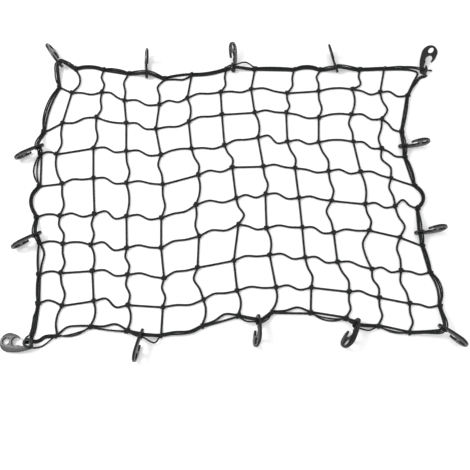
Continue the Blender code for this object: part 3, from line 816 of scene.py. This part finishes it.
def moulded_finish(name, settings):
    """Moulded plastic: a satin face with a fine grain, and paler scuffs."""
    material, graph, shader = new_finish(name)
    coords = graph.node("ShaderNodeTexCoord")["Object"]
    grain = noise(graph, coords, GRAIN_SCALE, 3.0, 0.6)
    swirl = noise(graph, coords, SCUFF_SCALE, 5.0, 0.65, 1.4)
    scuffs = graph.node(
        "ShaderNodeMapRange",
        {"interpolation_type": "SMOOTHSTEP"},
        {"Value": swirl, "From Min": 0.58, "From Max": 0.74, "To Min": 0.0, "To Max": 0.55},
    )
    plain = (*settings.colour, 1)
    paler = (*(channel * SCUFFED + 2 * PALE for channel in settings.colour), 1)
    looks = {
        "Base Color": mixed(graph, scuffs, plain, paler),
        "Roughness": settings.roughness + scuffs * 0.22 + grain * 0.08,
        "Normal": bumped(graph, grain + swirl * 0.6, 0.14, GRAIN_DEPTH),
        "Specular IOR Level": 0.3,
    }
    graph.fill(shader, looks)
    return material


# ---- pieces ----


def placed(point):
    """A point in metres, in the net's own frame."""
    return (point - Vector((*CENTRE, 0))) * MM


def path_object(ways, closed):
    """A curve object with one path for each way."""
    curve = bpy.data.curves.new("ways", "CURVE")
    curve.dimensions = "3D"
    for way in ways:
        spline = curve.splines.new("POLY")
        spline.points.add(len(way) - 1)
        for spot, point in zip(spline.points, way):
            spot.co = (*placed(point), 1)
        spline.use_cyclic_u = closed
    return linked("ways", curve)


def evenly(points, step):
    """The points of a fine way that lie about a step apart, with its ends."""
    kept = [points[0]]
    run = 0.0
    for before, here in zip(points, points[1:]):
        run += (here - before).length
        if run >= step:
            kept.append(here)
            run = 0.0
    if run > LAST_SHARE * step:
        kept.append(points[-1])
    else:
        kept[-1] = points[-1]
    return kept


def cords(name, ways, radius, sides, finish, closed=False):
    """Round cords on these ways, as one piece."""
    values = {"Radius": radius * MM, "Sides": sides, "Finish": finish}
    return grown(path_object(ways, closed), cord_tree(), values, name)


def fitted(piece, node):
    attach(piece, BODY)
    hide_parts(node)


def netting_way(stretch, over):
    """The middle of a stretch of the netting, which rises into the knots at its ends."""
    way = [point + up(MESH_FLOOR) for point in stretch_way(stretch)]
    way[0].z = way[-1].z = MESH_FLOOR + over
    way[1].z = way[-2].z = MESH_FLOOR + over / 2
    fine = fine_way(way, False)
    for point in fine:
        point.z = max(point.z, MESH_FLOOR)
    return evenly(fine, MESH_STEP)


def squared(value, power):
    """Squares off a sine or cosine, with its sign kept."""
    return math.copysign(abs(value) ** power, value)


def wrap_way(place, out, number):
    """A cord's turns round the edge and both border cords, at a knot of the edge.

    The knot's number varies how many turns it has and how they slant.
    """
    along = Vector((out.y, -out.x, 0))
    turns = 2 if number % 3 else 3
    slant = (number * 7 % 5 - 2) * WRAP_SLANT
    reach = (LANE + CORD) / 2 + WRAP_STRAND - WRAP_SQUEEZE
    tall = (STACK + CORD) / 2 + WRAP_STRAND - WRAP_SQUEEZE
    points = []
    for i in range(turns * WRAP_POINTS + 1):
        turn = 2 * math.pi * (i / WRAP_POINTS + 0.25)
        flat = squared(math.cos(turn), WRAP_SQUARE[0])
        lift = squared(math.sin(turn), WRAP_SQUARE[1])
        forward = WRAP_PITCH * (i / WRAP_POINTS - turns / 2) + slant * flat
        narrowed = 1.0 if flat > 0 else 1.0 - WRAP_NARROW * max(lift, 0)
        point = place + out * (WRAP_MIDDLE + reach * flat * narrowed) + along * forward
        point.z = max(FLOOR + STACK / 2 + tall * lift, WRAP_FLOOR)
        points.append(point)
    return points


def crossing_points():
    """A point at each knot inside the net, at the height of the knot's middle."""
    knots = [(row, column) for row in range(1, ROWS) for column in range(1, COLUMNS)]
    mesh = bpy.data.meshes.new("crossings")
    mesh.from_pydata([placed(knot_place(knot) + up(KNOT_MIDDLE)) for knot in knots], [], [])
    return linked("crossings", mesh)


def lay_netting(settings):
    """The cords of the net, their knots and the wraps on its edge, as one piece of netting."""
    finish = braided_finish("mesh_cord", settings.colour, settings)
    around = edge_stretches()
    inner = [netting_way(stretch, MESH_OVER) for stretch in inner_stretches()]
    edge = [netting_way(stretch, 0.0) for stretch in around]
    netting = cords("netting", inner + edge, MESH_CORD / 2, settings.sides, finish)
    values = {"Radius": KNOT_STRAND * MM, "Finish": finish}
    knots = grown(crossing_points(), knot_tree(), values, "mesh_knots")
    places = [knot_place(stretch.start) for stretch in around]
    turns = [wrap_way(place, outwards(places, i), i) for i, place in enumerate(places)]
    wraps = cords("edge_wraps", turns, WRAP_STRAND, WRAP_SIDES, finish)
    parts = [netting, knots, wraps]
    with bpy.context.temp_override(active_object=netting, selected_editable_objects=parts):
        bpy.ops.object.join()
    fitted(netting, "net_mesh")


def border_skin(settings):
    """Radius and sides of a border cord."""
    return settings.diameter / 2 / MM, settings.sides + 2


def run_borders(settings):
    """The closed inner border cord, and the outer one on top of it."""
    finish = braided_finish("border_cord", settings.border_colour, settings)
    inner, outer = border_ways()
    inner, outer = evenly(inner[:-1], BORDER_STEP), evenly(outer, BORDER_STEP)
    first = cords("border_inner", [inner], *border_skin(settings), finish, True)
    second = cords("border_outer", [outer], *border_skin(settings), finish)
    fitted(first, "border_cord_1")
    fitted(second, "border_cord_2")


def wind_corner(settings):
    """The cord coiled on the head of the front left hook."""
    finish = bpy.data.materials["border_cord"]
    hook = hook_frame("hook_corner_front_left")
    points = []
    for turn, radius, height in COIL:
        angle = math.radians(turn)
        along = COIL_CENTRE[0] + radius * math.cos(angle)
        across = COIL_CENTRE[1] + radius * math.sin(angle)
        points.append(hook @ Vector((along, across, -HOOK_THICK / 2 - height)))
    coil = evenly(fine_way(points, False), COIL_STEP)
    winding = cords("corner_coil", [coil], *border_skin(settings), finish)
    fitted(winding, "corner_hitch")


def flat_hook(name, edge):
    """A hook's outline and eye as a flat curve, with its thickness and rounded edges."""
    curve = bpy.data.curves.new(name, "CURVE")
    curve.dimensions = "2D"
    curve.fill_mode = "BOTH"
    curve.bevel_depth = edge
    curve.bevel_resolution = EDGE_STEPS
    curve.extrude = HOOK_THICK / 2 * MM - edge
    curve.offset = -edge
    for outline in (rounded_outline(), arc(EYE, 0, 360 - 360 / EYE_POINTS, EYE_POINTS)):
        spline = curve.splines.new("POLY")
        spline.points.add(len(outline) - 1)
        for point, (along, across) in zip(spline.points, outline):
            point.co = (along * MM, across * MM, 0, 1)
        spline.use_cyclic_u = True
    return linked(name, curve)


def mould_hook(name, settings, finish):
    """One hook in its place, as one closed skin."""
    mesh = plain_mesh(flat_hook(name, settings.edge_radius), name)
    hook = hook_frame(name)
    turn = hook.to_3x3().to_4x4()
    mesh.transform(Matrix.Translation(placed(hook.translation)) @ turn)
    weld = bmesh.new()
    weld.from_mesh(mesh)
    bmesh.ops.remove_doubles(weld, verts=weld.verts, dist=WELD)
    bmesh.ops.recalc_face_normals(weld, faces=weld.faces)
    weld.to_mesh(mesh)
    weld.free()
    mesh.shade_smooth()
    mesh.set_sharp_from_angle(angle=SHARP)
    mesh.materials.clear()
    mesh.materials.append(finish)
    fitted(linked("moulded_" + name, mesh), name)


def mould_hooks(settings):
    finish = moulded_finish("hook_plastic", settings)
    for name in HOOKS:
        mould_hook(name, settings, finish)


# ---- stage ----

SENSOR = 36.0         # width of the camera's sensor, in millimetres
FLOOR_SIZE = 14.0     # in metres, as are the lamps' places and sizes
KEY_PLACE, KEY_SIZE = Vector((-2.6, 0.15, 2.95)), 1.1
FILL_PLACE, FILL_SIZE = Vector((2.4, -2.2, 2.8)), 3.0


def aim(thing, target):
    thing.rotation_mode = "QUATERNION"
    thing.rotation_quaternion = (target - thing.location).to_track_quat("-Z", "Y")


def add_camera(settings):
    data = bpy.data.cameras.new("camera")
    data.sensor_width = SENSOR
    data.lens = settings.lens
    camera = linked("camera", data)
    target = placed(Vector((*TARGET, 0)))
    lean = settings.elevation
    camera.location = target + settings.distance * Vector((0, -math.cos(lean), math.sin(lean)))
    aim(camera, target)
    bpy.context.scene.camera = camera


def add_lamp(name, place, size, power):
    data = bpy.data.lights.new(name, "AREA")
    data.shape = "DISK"
    data.size = size
    data.energy = power
    lamp = linked(name, data)
    lamp.location = place
    aim(lamp, up(0))


def set_stage(settings):
    bpy.ops.mesh.primitive_plane_add(size=FLOOR_SIZE, location=(0, 0, 0))
    floor = bpy.context.object
    floor.name = "floor"
    material, graph, shader = new_finish("pale_floor")
    colour = (*settings.floor_colour, 1)
    graph.fill(shader, {"Base Color": colour, "Roughness": 0.85, "Specular IOR Level": 0.15})
    floor.data.materials.append(material)
    add_lamp("key", KEY_PLACE, KEY_SIZE, settings.key_power)
    add_lamp("fill", FILL_PLACE, FILL_SIZE, settings.fill_power)
    world = bpy.data.worlds.new("studio")
    world.use_nodes = True
    back = world.node_tree.nodes["Background"]
    back.inputs["Color"].default_value = (1, 1, 1, 1)
    back.inputs["Strength"].default_value = settings.sky
    bpy.context.scene.world = world
    bpy.context.scene.view_settings.view_transform = "Standard"
    add_camera(settings)


# ---- the add-on ----


class CARGONET_PG_cord(bpy.types.PropertyGroup):
    """Sizes and colours of the elastic cord."""

    diameter: FloatProperty(
        name="Cord", description="Across a border cord", default=CORD * MM,
        min=0.002, max=0.01, unit="LENGTH",
    )
    sides: IntProperty(
        name="Sides", description="Sides of a mesh cord's skin", default=10, min=6, max=24
    )
    braid_strands: IntProperty(
        name="Braid strands", description="Strands that turn each way", default=8, min=4, max=24
    )
    braid_pitch: FloatProperty(
        name="Braid pitch", description="Length of one strand's crossing", default=0.0022,
        unit="LENGTH",
    )
    colour: FloatVectorProperty(
        name="Mesh colour", description="Colour of the netting", subtype="COLOR",
        default=(0.0050, 0.0060, 0.0056), min=0, max=1,
    )
    border_colour: FloatVectorProperty(
        name="Border colour", description="Colour of the border cords", subtype="COLOR",
        default=(0.0055, 0.0066, 0.0063), min=0, max=1,
    )


class CARGONET_PG_hook(bpy.types.PropertyGroup):
    """Sizes and finish of the hooks."""

    edge_radius: FloatProperty(
        name="Edge radius", description="Rounding of a hook's edges", default=0.0011, unit="LENGTH"
    )
    colour: FloatVectorProperty(
        name="Colour", description="Colour of the plastic", subtype="COLOR",
        default=(0.0035, 0.0036, 0.0037), min=0, max=1,
    )
    roughness: FloatProperty(
        name="Roughness", description="Roughness of the plastic's face", default=0.2, min=0, max=1
    )


class CARGONET_PG_stage(bpy.types.PropertyGroup):
    """Floor, lamps and camera."""

    floor_colour: FloatVectorProperty(
        name="Floor", description="Colour of the floor", subtype="COLOR",
        default=(0.95, 0.95, 0.95), min=0, max=1,
    )
    key_power: FloatProperty(name="Key", description="Key lamp", default=62.0, unit="POWER")
    fill_power: FloatProperty(name="Fill", description="Fill lamp", default=18.0, unit="POWER")
    sky: FloatProperty(name="Sky", description="Light from all round", default=1.08, min=0)
    lens: FloatProperty(name="Lens", description="Focal length in millimetres", default=72.0)
    elevation: FloatProperty(
        name="Elevation", description="How far the camera looks down",
        default=math.radians(65.56), unit="ROTATION",
    )
    distance: FloatProperty(
        name="Distance", description="From the camera to its target", default=2.8144, unit="LENGTH"
    )


class CARGONET_OT_lay_netting(bpy.types.Operator):
    """Lays the netting's cords and ties its knots"""

    bl_idname = "cargonet.lay_netting"
    bl_label = "Lay Netting"

    def execute(self, context):
        lay_netting(context.scene.cargonet_cord)
        return {"FINISHED"}


class CARGONET_OT_run_borders(bpy.types.Operator):
    """Runs the two border cords round the net"""

    bl_idname = "cargonet.run_borders"
    bl_label = "Run Border Cords"

    def execute(self, context):
        run_borders(context.scene.cargonet_cord)
        return {"FINISHED"}


class CARGONET_OT_wind_corner(bpy.types.Operator):
    """Winds the cord on the head of the front left hook"""

    bl_idname = "cargonet.wind_corner"
    bl_label = "Wind Corner Cord"

    def execute(self, context):
        wind_corner(context.scene.cargonet_cord)
        return {"FINISHED"}


class CARGONET_OT_mould_hooks(bpy.types.Operator):
    """Moulds the hooks round the net"""

    bl_idname = "cargonet.mould_hooks"
    bl_label = "Mould Hooks"

    def execute(self, context):
        mould_hooks(context.scene.cargonet_hook)
        return {"FINISHED"}


class CARGONET_OT_set_stage(bpy.types.Operator):
    """Sets the floor, the lamps and the camera"""

    bl_idname = "cargonet.set_stage"
    bl_label = "Set Stage"

    def execute(self, context):
        set_stage(context.scene.cargonet_stage)
        return {"FINISHED"}


class CARGONET_PT_panel(bpy.types.Panel):
    """Steps and sizes of the cargo net"""

    bl_idname = "CARGONET_PT_panel"
    bl_label = "Cargo Net"
    bl_space_type = "VIEW_3D"
    bl_region_type = "UI"
    bl_category = "Cargo Net"

    def draw(self, context):
        scene = context.scene
        for group in (scene.cargonet_cord, scene.cargonet_hook, scene.cargonet_stage):
            box = self.layout.box()
            for name in group.__annotations__:
                box.prop(group, name)
        for operator in OPERATORS:
            self.layout.operator(operator.bl_idname)


OPERATORS = (
    CARGONET_OT_set_stage,
    CARGONET_OT_lay_netting,
    CARGONET_OT_run_borders,
    CARGONET_OT_wind_corner,
    CARGONET_OT_mould_hooks,
)
GROUPS = {
    "cargonet_cord": CARGONET_PG_cord,
    "cargonet_hook": CARGONET_PG_hook,
    "cargonet_stage": CARGONET_PG_stage,
}
CLASSES = (*GROUPS.values(), *OPERATORS, CARGONET_PT_panel)


def register():
    for kind in CLASSES:
        bpy.utils.register_class(kind)
    for name, group in GROUPS.items():
        setattr(bpy.types.Scene, name, PointerProperty(type=group))


def unregister():
    for name in GROUPS:
        delattr(bpy.types.Scene, name)
    for kind in reversed(CLASSES):
        bpy.utils.unregister_class(kind)


def main():
    register()
    for operator in OPERATORS:
        group, name = operator.bl_idname.split(".")
        getattr(getattr(bpy.ops, group), name)()


if __name__ == "__main__":
    main()
